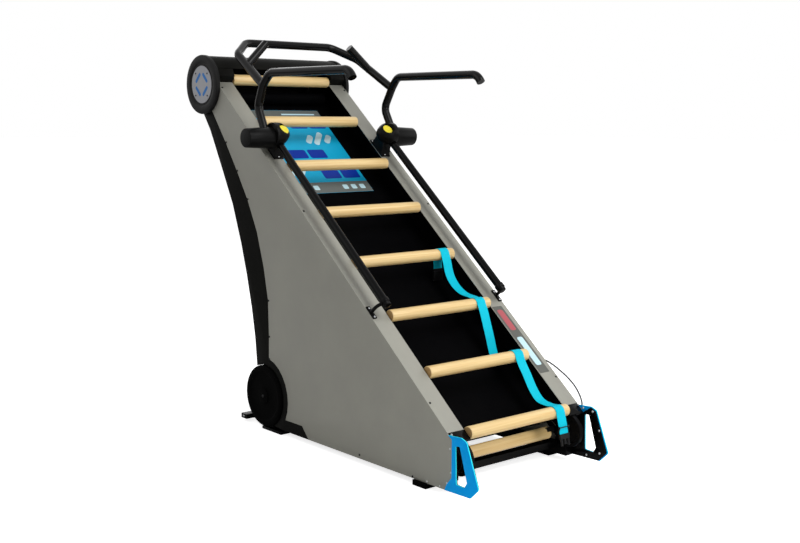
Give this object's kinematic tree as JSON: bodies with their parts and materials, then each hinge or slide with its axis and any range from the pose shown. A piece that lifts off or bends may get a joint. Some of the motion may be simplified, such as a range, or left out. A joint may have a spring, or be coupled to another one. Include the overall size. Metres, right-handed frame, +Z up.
{
  "type": "ladder climber",
  "caption": "Self-powered ladder climber: wooden rungs on an endless chain up a sloping wedge housing, with hand rails, tilting handlebars, transport wheels and lift handles.",
  "frame": {"origin": "centre of the footprint on the floor", "axes": "+X to the right of a user on the ladder, +Y to the back of the machine, +Z up"},
  "size_m": [0.968, 2.0291, 1.7861],
  "materials": {
    "panel_grey": "satin powder coat, warm grey",
    "black_steel": "satin black powder coat",
    "black_plastic": "fine-grained black",
    "cap_grey": "smooth dark grey",
    "handle_blue": "smooth bright blue",
    "ash_wood": "pale ash, clear satin lacquer",
    "foam_grip": "closed-cell foam, dull black",
    "wheel_rubber": "moulded black",
    "bright_steel": "zinc plated",
    "button_yellow": "bright yellow",
    "cyan_webbing": "woven cyan webbing",
    "cable_sheath": "dark grey sheath"
  },
  "bodies": {
    "frame": {"side_panel_left": "panel_grey", "side_panel_right": "panel_grey", "base_frame": "black_steel", "rear_stabiliser": "black_steel", "handle_plate_left": "black_steel", "handle_plate_right": "black_steel", "liner_plate_left": "black_steel", "liner_plate_right": "black_steel", "rail_bracket_left": "black_steel", "rail_bracket_right": "black_steel", "back_cover": "black_plastic", "back_board": "black_plastic", "drum_cover": "black_plastic", "front_foot_left": "black_plastic", "front_foot_right": "black_plastic", "pivot_housing_left": "black_plastic", "pivot_housing_right": "black_plastic", "end_cap_left": "cap_grey", "end_cap_right": "cap_grey", "lift_handle_left": "handle_blue", "lift_handle_right": "handle_blue", "hand_rail_left": "foam_grip", "hand_rail_right": "foam_grip", "wheel_axle": "bright_steel", "chain_left": "bright_steel", "chain_right": "bright_steel", "cable": "cable_sheath"},
    "front_run": {"rung_01": "ash_wood", "rung_02": "ash_wood", "rung_03": "ash_wood", "rung_04": "ash_wood", "rung_05": "ash_wood", "rung_06": "ash_wood", "rung_07": "ash_wood", "rung_08": "ash_wood", "strap": "cyan_webbing", "buckle_socket": "black_plastic", "buckle_plug": "black_plastic"},
    "return_run": {"rung_09": "ash_wood", "rung_10": "ash_wood", "rung_11": "ash_wood", "rung_12": "ash_wood", "rung_13": "ash_wood", "rung_14": "ash_wood", "rung_15": "ash_wood", "rung_16": "ash_wood"},
    "top_drive": {"top_shaft": "bright_steel", "brake_disc": "bright_steel", "top_sprocket_left": "bright_steel", "top_sprocket_right": "bright_steel"},
    "bottom_sprocket_left": {"bottom_sprocket_left": "bright_steel"},
    "bottom_sprocket_right": {"bottom_sprocket_right": "bright_steel"},
    "handlebars": {"handlebar_left": "black_plastic", "handlebar_right": "black_plastic", "handlebar_bridge": "black_plastic"},
    "release_button_left": {"release_button_left": "button_yellow"},
    "release_button_right": {"release_button_right": "button_yellow"},
    "wheel_left": {"wheel_left": "wheel_rubber"},
    "wheel_right": {"wheel_right": "wheel_rubber"}
  },
  "joints": [
    {"name": "front_run_slide", "type": "slide", "parent": "frame", "child": "front_run", "axis": [0, -0.7694, -0.6388], "range_m": [-0.056, 0.056]},
    {"name": "return_run_slide", "type": "slide", "parent": "frame", "child": "return_run", "axis": [0, 0.7694, 0.6388], "range_m": [-0.0565, 0.0565]},
    {"name": "top_shaft_turn", "type": "hinge", "parent": "frame", "child": "top_drive", "pos_m": [0, 0.8756, 1.5751], "axis": [1, 0, 0], "range_deg": [-54, 54]},
    {"name": "handlebar_tilt", "type": "hinge", "parent": "frame", "child": "handlebars", "pos_m": [0, 0.3572, 1.334], "axis": [1, 0, 0], "range_deg": [-5, 40]},
    {"name": "bottom_sprocket_turn_left", "type": "hinge", "parent": "frame", "child": "bottom_sprocket_left", "pos_m": [-0.345, -0.8533, 0.1397], "axis": [1, 0, 0], "range_deg": [-54, 54]},
    {"name": "bottom_sprocket_turn_right", "type": "hinge", "parent": "frame", "child": "bottom_sprocket_right", "pos_m": [0.345, -0.8533, 0.1397], "axis": [1, 0, 0], "range_deg": [-54, 54]},
    {"name": "release_button_press_left", "type": "slide", "parent": "frame", "child": "release_button_left", "axis": [0, 0.7431, -0.6691], "range_m": [0, 0.0035], "stiffness_N_per_m": 600, "springref_m": -0.002},
    {"name": "release_button_press_right", "type": "slide", "parent": "frame", "child": "release_button_right", "axis": [0, 0.7431, -0.6691], "range_m": [0, 0.0035], "stiffness_N_per_m": 600, "springref_m": -0.002},
    {"name": "wheel_spin_left", "type": "hinge", "parent": "frame", "child": "wheel_left", "pos_m": [-0.3648, 0.3862, 0.156], "axis": [1, 0, 0], "continuous": true},
    {"name": "wheel_spin_right", "type": "hinge", "parent": "frame", "child": "wheel_right", "pos_m": [0.3648, 0.3862, 0.156], "axis": [1, 0, 0], "continuous": true}
  ],
  "couplings": [
    {"joint": "return_run_slide", "follows": "front_run_slide", "ratio": 1},
    {"joint": "top_shaft_turn", "follows": "front_run_slide", "rad_per_m": 16.424},
    {"joint": "bottom_sprocket_turn_left", "follows": "front_run_slide", "rad_per_m": 16.424},
    {"joint": "bottom_sprocket_turn_right", "follows": "front_run_slide", "rad_per_m": 16.424}
  ]
}
